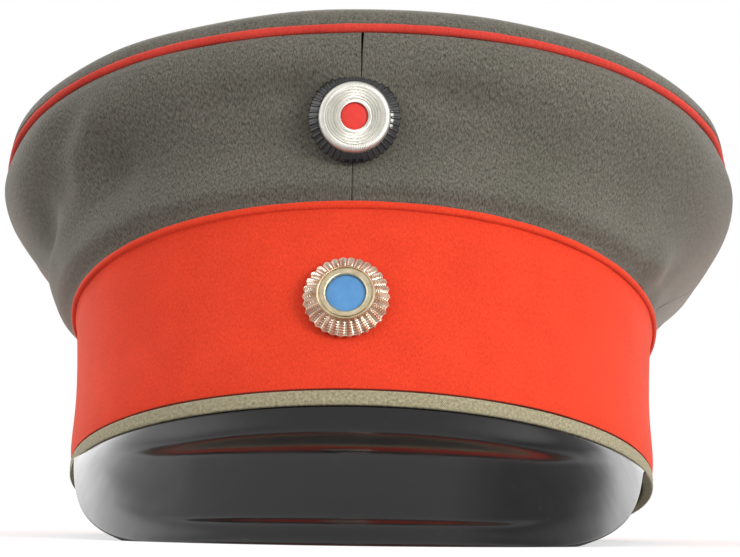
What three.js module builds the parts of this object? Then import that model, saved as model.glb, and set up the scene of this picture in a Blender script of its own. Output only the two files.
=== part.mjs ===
// Soft cloth visor cap: red band, grey wool crown, black leather visor and two round cockades.
// Millimetres, +Z up. The cap is drawn level, nose towards -Y, and stood on the floor at the end.
// "turn" is the angle round the head in degrees: 0 at the nose, 90 on the wearer's left (+X), 180 behind.
import * as THREE from 'three';

const WEARING_GAP = 0.3;
const TURN_STEP = 6;

// ---------------------------------------------------------------- small helpers

const sine = (turn) => Math.sin(THREE.MathUtils.degToRad(turn));
const cosine = (turn) => Math.cos(THREE.MathUtils.degToRad(turn));
const ease = (value) => THREE.MathUtils.smoothstep(value, 0, 1);

function turnsBetween(start, end, step = TURN_STEP) {
  const count = Math.round((end - start) / step);
  return Array.from({ length: count + 1 }, (_, i) => start + ((end - start) * i) / count);
}

// A row of closed loops joined into one solid. Each loop runs up its outer face and down its inner one.
function solidFromLoops(loops, joinedEnds) {
  const size = loops[0].length;
  const points = loops.flat();
  const faces = [];
  const addFace = (a, b, c) => {
    const [p, q, r] = [points[a], points[b], points[c]];
    const flat = p.distanceTo(q) < 1e-6 || q.distanceTo(r) < 1e-6 || r.distanceTo(p) < 1e-6;
    if (!flat) faces.push(a, b, c);
  };
  const spans = joinedEnds ? loops.length : loops.length - 1;
  for (let i = 0; i < spans; i += 1) {
    const here = i * size;
    const next = ((i + 1) % loops.length) * size;
    for (let j = 0; j < size; j += 1) {
      const k = (j + 1) % size;
      addFace(here + j, next + j, next + k);
      addFace(here + j, next + k, here + k);
    }
  }
  if (!joinedEnds) {
    const last = (loops.length - 1) * size;
    for (let j = 0; j < size / 2 - 1; j += 1) {
      const across = size - 1 - j;
      addFace(j, j + 1, across - 1);
      addFace(j, across - 1, across);
      addFace(last + j, last + across - 1, last + j + 1);
      addFace(last + j, last + across, last + across - 1);
    }
  }
  const geometry = new THREE.BufferGeometry();
  geometry.setAttribute('position', new THREE.Float32BufferAttribute(points.flatMap((p) => p.toArray()), 3));
  geometry.setIndex(faces);
  geometry.computeVertexNormals();
  return geometry;
}

// The inner face of a cloth wall: every point of the outer face set back by the thickness, square to it.
function innerFace(outer, outward, thickness) {
  return outer.map((point, i) => {
    const before = outer[Math.max(i - 1, 0)];
    const after = outer[Math.min(i + 1, outer.length - 1)];
    const along = after.clone().sub(before);
    const run = along.dot(outward);
    const rise = along.z;
    const length = Math.hypot(run, rise);
    const back = outward.clone().multiplyScalar(-rise / length);
    back.z = run / length;
    return point.clone().addScaledVector(back, thickness);
  });
}

function wallLoop(outer, outward, thickness) {
  return [...outer, ...innerFace(outer, outward, thickness).reverse()];
}

// ---------------------------------------------------------------- rings that the cap hangs on

// half sizes of the plan, "square" fills out its corners, "noseLift" raises the front, "saddle" raises
// front and back over the sides, and "side" and "lean" move and raise it towards the wearer's left
const RINGS = {
  bandFoot: { halfWidth: 84, halfLength: 106.4, square: 0.03, back: 0, height: 4.3, noseLift: 0, saddle: 2.5, side: 0, lean: 0 },
  bandTop: { halfWidth: 85.5, halfLength: 101.8, square: 0.06, back: -0.3, height: 48.9, noseLift: 1, saddle: 5.2, side: 0, lean: 0 },
  crownEdge: { halfWidth: 111.3, halfLength: 121, square: 0.05, back: 10.7, height: 81.6, noseLift: 15.6, saddle: 0.5, side: 0.5, lean: 0.9 },
};
const NAPE = { shorter: 5, higher: 6 }; // the crown's edge is drawn in and lifted a little behind

function ringPoint(ring, turn) {
  const corner = 1 + ring.square * sine(2 * turn) ** 2;
  const behind = ring === RINGS.crownEdge ? Math.max(0, -cosine(turn)) ** 2 : 0;
  const x = ring.side + ring.halfWidth * corner * sine(turn);
  const y = ring.back - ring.halfLength * corner * cosine(turn) - NAPE.shorter * behind;
  const z = ring.height + ring.noseLift * cosine(turn) + ring.saddle * cosine(2 * turn)
    + ring.lean * sine(turn) + NAPE.higher * behind;
  return new THREE.Vector3(x, y, z);
}

function ringOutward(ring, turn) {
  const step = 1;
  const along = ringPoint(ring, turn + step).sub(ringPoint(ring, turn - step));
  return new THREE.Vector3(along.y, -along.x, 0).normalize();
}

function offset(point, outward, out, up) {
  return point.clone().addScaledVector(outward, out).add(new THREE.Vector3(0, 0, up));
}

// ---------------------------------------------------------------- cords

function ringCord(ring, radius, out, up) {
  const sides = 8;
  const loops = turnsBetween(0, 360 - TURN_STEP).map((turn) => {
    const outward = ringOutward(ring, turn);
    const centre = offset(ringPoint(ring, turn), outward, out, up);
    return Array.from({ length: sides }, (_, i) => {
      const angle = -90 + (360 * i) / sides;
      return offset(centre, outward, radius * cosine(angle), radius * sine(angle));
    });
  });
  return solidFromLoops(loops, true);
}

// ---------------------------------------------------------------- band, its cord and the trim under it

const BAND = { thickness: 2.4 };
const WELT = { radius: 0.9, out: 0.35 };
const TRIM = { height: 3.8, thickness: 3, out: 0.2 };
const REST = { halfTurn: 20, fadeTurn: 35 }; // stretch of the back rim that is flat on the floor

// share of the band's height, and how far its face stands out from a straight line there
const BAND_FACE = [
  { share: 0, out: 0 },
  { share: 0.1, out: 0.4 },
  { share: 0.4, out: -1.1 },
  { share: 0.75, out: -1.2 },
  { share: 1, out: -0.6 },
];

function bandSection(turn) {
  const outward = ringOutward(RINGS.bandFoot, turn);
  const foot = offset(ringPoint(RINGS.bandFoot, turn), outward, 0, WEARING_GAP / 2);
  const top = offset(ringPoint(RINGS.bandTop, turn), outward, 0, -2 * WELT.radius - WEARING_GAP);
  const outer = BAND_FACE.map(({ share, out }) => offset(foot.clone().lerp(top, share), outward, out, 0));
  return wallLoop(outer, outward, BAND.thickness);
}

// Height of the trim's lower edge. Behind, it lies in the plane that the cap rests on.
function footHeight(turn, y, floorAt) {
  const free = ringPoint(RINGS.bandFoot, turn).z - TRIM.height;
  const fromBack = Math.abs(turn - 180);
  return THREE.MathUtils.lerp(floorAt(y), free, ease((fromBack - REST.halfTurn) / REST.fadeTurn));
}

function trimSection(turn, floorAt) {
  const outward = ringOutward(RINGS.bandFoot, turn);
  const top = offset(ringPoint(RINGS.bandFoot, turn), outward, TRIM.out, -WEARING_GAP / 2);
  const topInside = offset(top, outward, -TRIM.thickness, 0);
  const foot = top.clone().setZ(footHeight(turn, top.y, floorAt));
  const footInside = topInside.clone().setZ(footHeight(turn, topInside.y, floorAt));
  return [foot, top, topInside, footInside];
}

// ---------------------------------------------------------------- crown

const CLOTH = 2;
const CORD = { radius: 1.05, proud: 0.55 };
const CROWN_ROWS = 8;
const SEAM_HALF_GAP = 0.12; // degrees each side of a seam, which leaves about 0.4 mm
const SEAMS = { front: 0.8, left: 85, back: 180, right: 273 };

// how far the side cloth swells past a straight line from band to edge, and where along it the swell sits
const SWELL = [
  { turn: -180, out: 2, seat: 1 },
  { turn: -135, out: 1.5, seat: 1 },
  { turn: -100, out: -2, seat: 1.2 },
  { turn: -65, out: 3, seat: 1 },
  { turn: -25, out: 1.5, seat: 1 },
  { turn: 0, out: 0.8, seat: 1 },
  { turn: 25, out: 1.5, seat: 1 },
  { turn: 65, out: 3.5, seat: 1 },
  { turn: 100, out: -1, seat: 1.1 },
  { turn: 135, out: 0.5, seat: 1 },
  { turn: 180, out: 2, seat: 1 },
];

// soft dents (in) and folds (out) of the side cloth
const DENTS = [
  { turn: -42, share: 0.52, out: -1.6, wide: 9, tall: 0.2 },
  { turn: -58, share: 0.6, out: 1, wide: 8, tall: 0.25 },
  { turn: -74, share: 0.46, out: -2.4, wide: 14, tall: 0.14 },
  { turn: -84, share: 0.18, out: 2, wide: 16, tall: 0.16 },
  { turn: 66, share: 0.3, out: 1, wide: 9, tall: 0.15 },
  { turn: 95, share: 0.15, out: -1.8, wide: 20, tall: 0.17 },
];

const wrapped = (turn) => THREE.MathUtils.euclideanModulo(turn + 180, 360) - 180;

function swellAt(turn) {
  const around = wrapped(turn);
  const after = Math.max(1, SWELL.findIndex((row) => row.turn >= around));
  const [a, b] = [SWELL[after - 1], SWELL[after]];
  const share = ease((around - a.turn) / (b.turn - a.turn));
  return { out: THREE.MathUtils.lerp(a.out, b.out, share), seat: THREE.MathUtils.lerp(a.seat, b.seat, share) };
}

function dentAt(turn, share) {
  return DENTS.reduce((sum, dent) => {
    const away = (wrapped(turn - dent.turn) / dent.wide) ** 2 + ((share - dent.share) / dent.tall) ** 2;
    return sum + dent.out * Math.exp(-away);
  }, 0);
}

// A point of the crown side's outer face: share 0 at the band, 1 at the edge cord.
function crownPoint(turn, share) {
  const outward = ringOutward(RINGS.crownEdge, turn);
  const low = offset(ringPoint(RINGS.bandTop, turn), outward, -0.2, WEARING_GAP);
  const chord = ringPoint(RINGS.crownEdge, turn).sub(low);
  const length = Math.hypot(chord.dot(outward), chord.z);
  const square = outward.clone().multiplyScalar(chord.z / length);
  square.z = -chord.dot(outward) / length;
  const reach = 1 - (CORD.radius + WEARING_GAP) / length;
  const swell = swellAt(turn);
  const straight = (CORD.radius - CORD.proud) * share;
  const out = straight + swell.out * Math.sin(Math.PI * share ** swell.seat) + dentAt(turn, share);
  return low.addScaledVector(chord, share * reach).addScaledVector(square, out);
}

function crownSection(turn) {
  const outer = Array.from({ length: CROWN_ROWS }, (_, i) => crownPoint(turn, i / (CROWN_ROWS - 1)));
  return wallLoop(outer, ringOutward(RINGS.crownEdge, turn), CLOTH);
}

function crownQuarter(start, end) {
  const turns = turnsBetween(start, end);
  turns[0] += SEAM_HALF_GAP;
  turns[turns.length - 1] -= SEAM_HALF_GAP;
  return solidFromLoops(turns.map(crownSection), false);
}

const TOP = { roll: 6.4, dome: 4, centreY: 8 };
const TOP_INSETS = [0, 0.7, 2.2, 4.5, 8]; // millimetres in from the edge, round the roll
const TOP_SHARES = [0.3, 0.65, 1]; // then shares of the way to the middle

function topPoint(turn, inset) {
  const outward = ringOutward(RINGS.crownEdge, turn);
  const edge = offset(ringPoint(RINGS.crownEdge, turn), outward, CORD.radius - CORD.proud, CORD.radius + WEARING_GAP);
  const middle = new THREE.Vector3(0, TOP.centreY, RINGS.crownEdge.height + CORD.radius + WEARING_GAP);
  const reach = Math.hypot(edge.x - middle.x, edge.y - middle.y);
  const share = inset / reach;
  const rolled = Math.min(inset / TOP.roll, 1);
  const rise = TOP.roll * Math.sqrt(1 - (1 - rolled) ** 2) + TOP.dome * (1 - (1 - share) ** 2);
  return edge.lerp(middle, share).add(new THREE.Vector3(0, 0, rise));
}

function topSection(turn) {
  const edge = ringPoint(RINGS.crownEdge, turn);
  const reach = topPoint(turn, 0).setZ(0).distanceTo(new THREE.Vector3(0, TOP.centreY, 0));
  const insets = [...TOP_INSETS, ...TOP_SHARES.map((share) => share * reach)];
  const outer = insets.map((inset) => topPoint(turn, inset));
  const toMiddle = new THREE.Vector3(edge.x, edge.y - TOP.centreY, 0).normalize();
  const inner = innerFace(outer, toMiddle, CLOTH);
  const last = outer.length - 1;
  inner[last].set(0, TOP.centreY, outer[last].z - CLOTH);
  return [...outer, ...inner.reverse()];
}

// ---------------------------------------------------------------- visor

const VISOR = { halfTurn: 63.5, reach: 27.6, thickness: 2, turnStep: 63.5 / 14 };
const VISOR_EDGE = { roundNose: 0.25, taper: 1.3, flatHalfTurn: 25, climb: 0.016, leastDrop: 0.6, tipHeight: -33.2 };

// shares of the reach and of the drop at each step of the leather's face, from the trim to the edge
const VISOR_FACE = [
  { step: 'top', reach: 0, drop: 0 },
  { step: 'flange', reach: 0.05, drop: 0.17 },
  { step: 'valley', reach: 0.2, drop: 0.26 },
  { step: 'shoulder', reach: 0.37, drop: 0.34 },
  { step: 'slope', reach: 0.6, drop: 0.6 },
  { step: 'foot', reach: 0.8, drop: 0.83 },
  { step: 'rim', reach: 0.89, drop: 0.89 },
  { step: 'edge', reach: 1, drop: 1 },
];

function visorTop(turn) {
  const ring = ringPoint(RINGS.bandFoot, turn);
  return ring.setZ(ring.z - TRIM.height - WEARING_GAP);
}

function visorReach(turn) {
  const { roundNose } = VISOR_EDGE;
  const share = Math.abs(turn) / VISOR.halfTurn;
  const eased = (Math.hypot(share, roundNose) - roundNose) / (Math.hypot(1, roundNose) - roundNose);
  return VISOR.reach * (1 - eased) ** VISOR_EDGE.taper;
}

const tip = offset(visorTop(0), ringOutward(RINGS.bandFoot, 0), visorReach(0), 0).setZ(VISOR_EDGE.tipHeight);
const heel = ringPoint(RINGS.bandFoot, 180);
heel.z -= TRIM.height;
const slope = (heel.z - tip.z) / (heel.y - tip.y);
const floorAt = (y) => heel.z + (y - heel.y) * slope;

function visorSection(turn) {
  const outward = ringOutward(RINGS.bandFoot, turn);
  const top = visorTop(turn);
  const reach = visorReach(turn);
  const edge = offset(top, outward, reach, 0);
  const rising = VISOR_EDGE.climb * Math.max(0, Math.abs(turn) - VISOR_EDGE.flatHalfTurn) ** 2;
  const climb = Math.min(rising, top.z - floorAt(edge.y) - VISOR_EDGE.leastDrop);
  const drop = top.z - floorAt(edge.y) - climb;
  const outer = VISOR_FACE.map((row) => offset(top, outward, row.reach * reach, -row.drop * drop)).reverse();
  const inner = innerFace(outer, outward, VISOR.thickness);
  inner[0].copy(outer[0]).addScaledVector(outward, -VISOR.thickness);
  inner[0].z = floorAt(inner[0].y) + climb;
  inner[inner.length - 1].copy(top).addScaledVector(outward, -VISOR.thickness);
  return [...outer, ...inner.reverse()];
}

// ---------------------------------------------------------------- cockades

// profiles in millimetres: radius, and height off the cloth
const UPPER_COCKADE = {
  rim: [[9.1, 0], [11, 0], [11.05, 0.7], [9.9, 2], [9.1, 2.4], [9.1, 0]],
  dish: [[3.9, 0], [8.8, 0], [8.8, 2.6], [8, 3.7], [6.6, 4.2], [3.9, 4.4], [3.9, 0]],
  centre: [[0, 0], [3.6, 0], [3.6, 2.9], [2, 3.3], [0, 3.4]],
};
const LOWER_COCKADE = {
  rim: [[7.4, 0], [10.2, 0], [10.3, 0.6], [8.8, 2], [7.4, 2.9], [7.4, 0]],
  ring: [[5.1, 0], [7.1, 0], [7.1, 3.4], [6.2, 3.9], [5.1, 3.6], [5.1, 0]],
  centre: [[0, 0], [4.8, 0], [4.8, 2.7], [2.6, 3.5], [0, 3.8]],
};
const COCKADE_SEGMENTS = 30;

function lathe(profile) {
  const points = profile.map(([radius, height]) => new THREE.Vector2(radius, height));
  return new THREE.LatheGeometry(points, COCKADE_SEGMENTS);
}

// ---------------------------------------------------------------- materials

const finish = (color, roughness, metalness = 0) => new THREE.MeshStandardMaterial({ color, roughness, metalness });
const FINISHES = {
  greyWool: finish(0x5e594e, 0.95),
  redWool: finish(0xd8402a, 0.95),
  redCord: finish(0xc23a2b, 0.9),
  oliveCloth: finish(0x9f926f, 0.95),
  blackLeather: finish(0x1c1c1e, 0.2),
  blackEnamel: finish(0x141414, 0.25),
  silver: finish(0xc9c6bf, 0.35, 1),
  redEnamel: finish(0xc8302a, 0.5),
  blueEnamel: finish(0x4f96cf, 0.15),
};

// ---------------------------------------------------------------- the cap

const cap = new THREE.Group();

function addTo(parent, name, geometry, material) {
  const mesh = new THREE.Mesh(geometry, material);
  mesh.name = name;
  parent.add(mesh);
}

const roundTurns = turnsBetween(0, 360 - TURN_STEP);
const visorTurns = turnsBetween(-VISOR.halfTurn, VISOR.halfTurn, VISOR.turnStep);

addTo(cap, 'crown_top', solidFromLoops(roundTurns.map(topSection), true), FINISHES.greyWool);
addTo(cap, 'crown_front_left', crownQuarter(SEAMS.front, SEAMS.left), FINISHES.greyWool);
addTo(cap, 'crown_back_left', crownQuarter(SEAMS.left, SEAMS.back), FINISHES.greyWool);
addTo(cap, 'crown_back_right', crownQuarter(SEAMS.back, SEAMS.right), FINISHES.greyWool);
addTo(cap, 'crown_front_right', crownQuarter(SEAMS.right, 360 + SEAMS.front), FINISHES.greyWool);
addTo(cap, 'crown_piping', ringCord(RINGS.crownEdge, CORD.radius, 0, 0), FINISHES.redCord);
addTo(cap, 'band', solidFromLoops(roundTurns.map(bandSection), true), FINISHES.redWool);
addTo(cap, 'band_piping', ringCord(RINGS.bandTop, WELT.radius, WELT.out, -WELT.radius), FINISHES.redCord);
addTo(cap, 'lower_trim', solidFromLoops(roundTurns.map((turn) => trimSection(turn, floorAt)), true),
  FINISHES.oliveCloth);
addTo(cap, 'visor', solidFromLoops(visorTurns.map(visorSection), false), FINISHES.blackLeather);

// Band's outer face at the nose: share 0 at its foot, 1 at its top.
function bandPoint(share) {
  const face = bandSection(0).slice(0, BAND_FACE.length);
  const above = Math.max(1, BAND_FACE.findIndex((row) => row.share >= share));
  const [a, b] = [BAND_FACE[above - 1].share, BAND_FACE[above].share];
  return face[above - 1].clone().lerp(face[above], (share - a) / (b - a));
}

// A cockade lies against the cloth's highest points behind it, a sewing gap off them.
function addCockade(prefix, profiles, finishes, clothAt, seatShare, halfShare, sideways) {
  const seat = clothAt(seatShare);
  const up = clothAt(seatShare + halfShare).sub(clothAt(seatShare - halfShare));
  const facing = new THREE.Vector3(0, -up.z, up.y).normalize();
  const samples = [-1, -0.75, -0.5, -0.25, 0, 0.25, 0.5, 0.75, 1];
  const highest = Math.max(...samples.map((i) => clothAt(seatShare + i * halfShare).sub(seat).dot(facing)));
  const cockade = new THREE.Group();
  cockade.position.copy(seat).addScaledVector(facing, highest + WEARING_GAP);
  cockade.position.x += sideways;
  cockade.quaternion.setFromUnitVectors(new THREE.Vector3(0, 1, 0), facing);
  for (const piece of Object.keys(profiles)) {
    addTo(cockade, `${prefix}_${piece}`, lathe(profiles[piece]), finishes[piece]);
  }
  cap.add(cockade);
}

// seat and half height of each cockade as shares of the crown's front and of the band's height,
// and how far it sits off the middle
addCockade('upper_cockade', UPPER_COCKADE,
  { rim: FINISHES.blackEnamel, dish: FINISHES.silver, centre: FINISHES.redEnamel },
  (share) => crownPoint(0, share), 0.473, 0.26, -0.45);
addCockade('lower_cockade', LOWER_COCKADE,
  { rim: FINISHES.silver, ring: FINISHES.silver, centre: FINISHES.blueEnamel },
  bandPoint, 0.489, 0.24, -1.5);

// Stood on the floor: visor edge and back rim at height 0, the box's middle over the origin.
const tilt = Math.atan(slope);
cap.rotation.x = -tilt;
cap.updateMatrixWorld(true);
const stand = new THREE.Box3().setFromObject(cap, true);
const middle = stand.getCenter(new THREE.Vector3());
const part = new THREE.Group();
cap.position.set(-middle.x, -middle.y, -stand.min.z);
part.add(cap);

export default part;
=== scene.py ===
"""Visor cap: grey wool crown, red wool band, patent leather visor, two round cockades.

Metres, +Z up, nose towards -Y. "Turn" is the angle round the head in degrees,
0 at the nose and 90 on the wearer's left. Small parts are drawn in millimetres.
"""

import math

import bpy
from mathutils import Matrix, Vector, noise


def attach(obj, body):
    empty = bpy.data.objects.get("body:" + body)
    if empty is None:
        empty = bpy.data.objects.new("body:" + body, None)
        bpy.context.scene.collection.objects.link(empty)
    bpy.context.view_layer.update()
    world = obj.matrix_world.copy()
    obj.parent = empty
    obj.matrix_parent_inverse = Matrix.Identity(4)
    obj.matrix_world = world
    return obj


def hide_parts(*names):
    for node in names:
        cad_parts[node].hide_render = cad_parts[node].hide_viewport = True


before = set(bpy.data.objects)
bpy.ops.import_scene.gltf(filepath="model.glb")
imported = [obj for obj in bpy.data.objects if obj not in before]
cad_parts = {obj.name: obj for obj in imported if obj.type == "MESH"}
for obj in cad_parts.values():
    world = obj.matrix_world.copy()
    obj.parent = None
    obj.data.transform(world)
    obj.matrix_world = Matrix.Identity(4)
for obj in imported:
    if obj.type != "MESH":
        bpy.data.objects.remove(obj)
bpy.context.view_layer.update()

MM = 0.001
CAP_TILT = math.radians(-8.5634)
CAP_SHIFT = Vector((-0.5, 0.164, 12.877)) * MM
CAP_PLACE = Matrix.Translation(CAP_SHIFT) @ Matrix.Rotation(CAP_TILT, 4, "X")
LEVEL = CAP_PLACE.inverted()
HEAD_RADIUS = 0.1
CAP_MIDDLE = Vector((0, 0, 0.06))


# ------------------------------------------------------------------ working with pieces


def deselect():
    bpy.ops.object.select_all(action="DESELECT")


def pick(piece):
    deselect()
    piece.select_set(True)
    bpy.context.view_layer.objects.active = piece


def edit(piece, select="SELECT", kind="VERT"):
    pick(piece)
    bpy.ops.object.mode_set(mode="EDIT")
    bpy.ops.mesh.select_mode(type=kind)
    bpy.ops.mesh.select_all(action=select)


def leave_edit():
    bpy.ops.object.mode_set(mode="OBJECT")


def named(piece, name):
    piece.name = name
    piece.data.name = name
    return piece


def link_mesh(name, mesh):
    piece = bpy.data.objects.new(name, mesh)
    bpy.context.scene.collection.objects.link(piece)
    return piece


def put_modifier(piece, kind, **settings):
    pick(piece)
    modifier = piece.modifiers.new(kind.title(), kind)
    for key, value in settings.items():
        setattr(modifier, key, value)
    bpy.ops.object.modifier_apply(modifier=modifier.name)


def subdivide_smooth(piece, levels):
    put_modifier(piece, "SUBSURF", levels=levels, render_levels=levels)


def move_points(piece, mover):
    """Moves every point by a rule, as a sculpting pass does.

    The rule gets a place and its normal, and returns the new place.
    """
    before = [(vertex.co.copy(), vertex.normal.copy()) for vertex in piece.data.vertices]
    for vertex, (place, normal) in zip(piece.data.vertices, before):
        vertex.co = mover(place, normal)
    piece.data.update()


def face_outwards(piece):
    edit(piece)
    bpy.ops.mesh.remove_doubles(threshold=0.002 * MM)
    bpy.ops.mesh.normals_make_consistent(inside=False)
    leave_edit()


def smooth_shading(piece, degrees=None):
    pick(piece)
    if degrees is None:
        bpy.ops.object.shade_smooth()
    else:
        bpy.ops.object.shade_smooth_by_angle(angle=math.radians(degrees))


def join(pieces, name):
    deselect()
    for piece in pieces:
        piece.select_set(True)
    bpy.context.view_layer.objects.active = pieces[0]
    if len(pieces) > 1:
        bpy.ops.object.join()
    return named(bpy.context.view_layer.objects.active, name)


def copies_round(piece, count):
    """The piece and its copies, spaced evenly round the Z axis."""
    copies = [piece]
    for index in range(1, count):
        copy = link_mesh(piece.name, piece.data.copy())
        copy.data.transform(Matrix.Rotation(2 * math.pi * index / count, 4, "Z"))
        copies.append(copy)
    return copies


def turned(name, profile, steps):
    """A lathe-turned solid from a closed profile of (radius, height) in millimetres."""
    mesh = bpy.data.meshes.new(name)
    points = [(radius * MM, 0, height * MM) for radius, height in profile]
    edges = [(i, (i + 1) % len(points)) for i in range(len(points))]
    mesh.from_pydata(points, edges, [])
    piece = link_mesh(name, mesh)
    edit(piece)
    bpy.ops.mesh.spin(steps=steps, angle=2 * math.pi, center=(0, 0, 0), axis=(0, 0, 1))
    leave_edit()
    face_outwards(piece)
    return piece


# ------------------------------------------------------------------ places on the cap


def turn_of(place):
    """Angle round the head, in degrees, of a point given in the cap's level frame."""
    return math.degrees(math.atan2(place.x, -place.y))


def bell(distance, width):
    return math.exp(-((distance / width) ** 2))


def wrap_uv(piece):
    """A flat map of cloth that runs round the head: along the ring, then up, both in metres."""
    mesh = piece.data
    layer = mesh.uv_layers.new(name="cloth")
    level = [LEVEL @ vertex.co for vertex in mesh.vertices]
    turns = [turn_of(place) for place in level]
    for polygon in mesh.polygons:
        first = turns[mesh.loops[polygon.loop_start].vertex_index]
        for loop in polygon.loop_indices:
            vertex = mesh.loops[loop].vertex_index
            turn = turns[vertex]
            turn -= 360 * round((turn - first) / 360)
            layer.data[loop].uv = (math.radians(turn) * HEAD_RADIUS, level[vertex].z)


def refined_copy(node, name, rim, levels):
    """A fine copy of a CAD shell, with paired triangles and smoothed faces.

    The cut edges are rounded by "rim" millimetres, or left as they are when it is 0.
    """
    piece = link_mesh(name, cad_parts[node].data.copy())
    piece.data.materials.clear()
    for layer in list(piece.data.uv_layers):
        piece.data.uv_layers.remove(layer)
    named(piece, name)
    edit(piece)
    bpy.ops.mesh.customdata_custom_splitnormals_clear()
    bpy.ops.mesh.remove_doubles(threshold=0.005 * MM)
    bpy.ops.mesh.tris_convert_to_quads(
        face_threshold=math.radians(45),
        shape_threshold=math.radians(75),
    )
    if rim:
        bpy.ops.mesh.select_all(action="DESELECT")
        bpy.ops.mesh.select_mode(type="EDGE")
        bpy.ops.mesh.edges_select_sharp(sharpness=math.radians(55))
        bpy.ops.mesh.bevel(offset=rim * MM, segments=2, affect="EDGES")
    leave_edit()
    subdivide_smooth(piece, levels)
    smooth_shading(piece)
    return piece


def disc_place(node):
    """Where a cockade sits: its flat back's middle, with Z pointing away from the cloth."""
    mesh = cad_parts[node].data
    back = max(mesh.polygons, key=lambda polygon: polygon.area)
    facing = -back.normal
    middle = sum((vertex.co for vertex in mesh.vertices), Vector()) / len(mesh.vertices)
    middle -= facing * (middle - back.center).dot(facing)
    side = Vector((1, 0, 0))
    up = facing.cross(side)
    turn = Matrix((side, up, facing)).transposed().to_4x4()
    return Matrix.Translation(middle) @ turn


# ------------------------------------------------------------------ material helpers


def add(tree, kind, inputs=None, **settings):
    node = tree.nodes.new(kind)
    for key, value in settings.items():
        setattr(node, key, value)
    for key, value in (inputs or {}).items():
        node.inputs[key].default_value = value
    return node


def new_group(name, inputs, outputs):
    tree = bpy.data.node_groups.new(name, "ShaderNodeTree")
    for label, kind, value in inputs:
        socket = tree.interface.new_socket(name=label, in_out="INPUT", socket_type=kind)
        if value is not None:
            socket.default_value = value
    for label, kind in outputs:
        tree.interface.new_socket(name=label, in_out="OUTPUT", socket_type=kind)
    start = tree.nodes.new("NodeGroupInput")
    end = tree.nodes.new("NodeGroupOutput")
    return tree, start, end


def use_group(tree, group, **values):
    node = tree.nodes.new("ShaderNodeGroup")
    node.node_tree = group
    for key, value in values.items():
        node.inputs[key.replace("_", " ")].default_value = value
    return node


def math_node(tree, operation, first, second=None):
    node = add(tree, "ShaderNodeMath", operation=operation)
    for index, value in enumerate((first, second)):
        if value is None:
            continue
        if isinstance(value, (int, float)):
            node.inputs[index].default_value = value
        else:
            tree.links.new(value, node.inputs[index])
    return node.outputs[0]


def times(tree, first, second):
    return math_node(tree, "MULTIPLY", first, second)


def plus(tree, first, second):
    return math_node(tree, "ADD", first, second)


def colour_between(tree, factor, dark, light):
    node = add(tree, "ShaderNodeMix", data_type="RGBA")
    node.inputs["A"].default_value = (*dark, 1)
    node.inputs["B"].default_value = (*light, 1)
    tree.links.new(factor, node.inputs["Factor"])
    return node.outputs["Result"]


def spread(tree, value, low, high, to_low=0.0, to_high=1.0):
    limits = {"From Min": low, "From Max": high, "To Min": to_low, "To Max": to_high}
    node = add(tree, "ShaderNodeMapRange", limits)
    tree.links.new(value, node.inputs["Value"])
    return node.outputs["Result"]


def new_material(name, **constants):
    material = bpy.data.materials.new(name)
    material.use_nodes = True
    tree = material.node_tree
    shader = tree.nodes["Principled BSDF"]
    for key, value in constants.items():
        shader.inputs[key.replace("_", " ")].default_value = value
    return material, tree, shader


def bump(tree, shader, height, strength, distance_mm):
    node = add(tree, "ShaderNodeBump", {"Strength": strength, "Distance": distance_mm * MM})
    tree.links.new(height, node.inputs["Height"])
    tree.links.new(node.outputs["Normal"], shader.inputs["Normal"])


def give(piece, material):
    piece.data.materials.clear()
    piece.data.materials.append(material)


def finish_piece(piece, material, slot, *nodes):
    give(piece, material)
    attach(piece, "root")
    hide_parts(*nodes)


# ------------------------------------------------------------------ shared surface effects


def wool_nap_group():
    """Short wool hairs lying one way over a felted ground, with slow cloudy changes of tone."""
    tree, start, end = new_group(
        "Wool nap",
        [
            ("Vector", "NodeSocketVector", None),
            ("Hairs per metre", "NodeSocketFloat", 1400.0),
            ("Lean", "NodeSocketVector", (0.0, 0.0, 0.3)),
            ("Cloud size", "NodeSocketFloat", 60.0),
        ],
        [
            ("Hairs", "NodeSocketFloat"),
            ("Clouds", "NodeSocketFloat"),
            ("Height", "NodeSocketFloat"),
        ],
    )
    lay = add(tree, "ShaderNodeMapping", {"Scale": (1.0, 0.42, 1.0)}, vector_type="POINT")
    tree.links.new(start.outputs["Vector"], lay.inputs["Vector"])
    tree.links.new(start.outputs["Lean"], lay.inputs["Rotation"])
    hairs = add(tree, "ShaderNodeTexNoise", {"Detail": 3.0, "Roughness": 0.6, "Distortion": 0.4})
    tree.links.new(lay.outputs["Vector"], hairs.inputs["Vector"])
    tree.links.new(start.outputs["Hairs per metre"], hairs.inputs["Scale"])
    felt = add(tree, "ShaderNodeTexNoise", {"Detail": 2.0, "Roughness": 0.5})
    tree.links.new(start.outputs["Vector"], felt.inputs["Vector"])
    felt_scale = times(tree, start.outputs["Hairs per metre"], 0.35)
    tree.links.new(felt_scale, felt.inputs["Scale"])
    clouds = add(tree, "ShaderNodeTexNoise", {"Detail": 2.0, "Roughness": 0.55})
    tree.links.new(start.outputs["Vector"], clouds.inputs["Vector"])
    tree.links.new(start.outputs["Cloud size"], clouds.inputs["Scale"])
    ground = times(tree, felt.outputs["Fac"], 0.3)
    mixed = plus(tree, hairs.outputs["Fac"], ground)
    tree.links.new(spread(tree, mixed, 0.42, 0.88), end.inputs["Hairs"])
    tree.links.new(spread(tree, clouds.outputs["Fac"], 0.3, 0.7), end.inputs["Clouds"])
    tree.links.new(mixed, end.inputs["Height"])
    return tree


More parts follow.
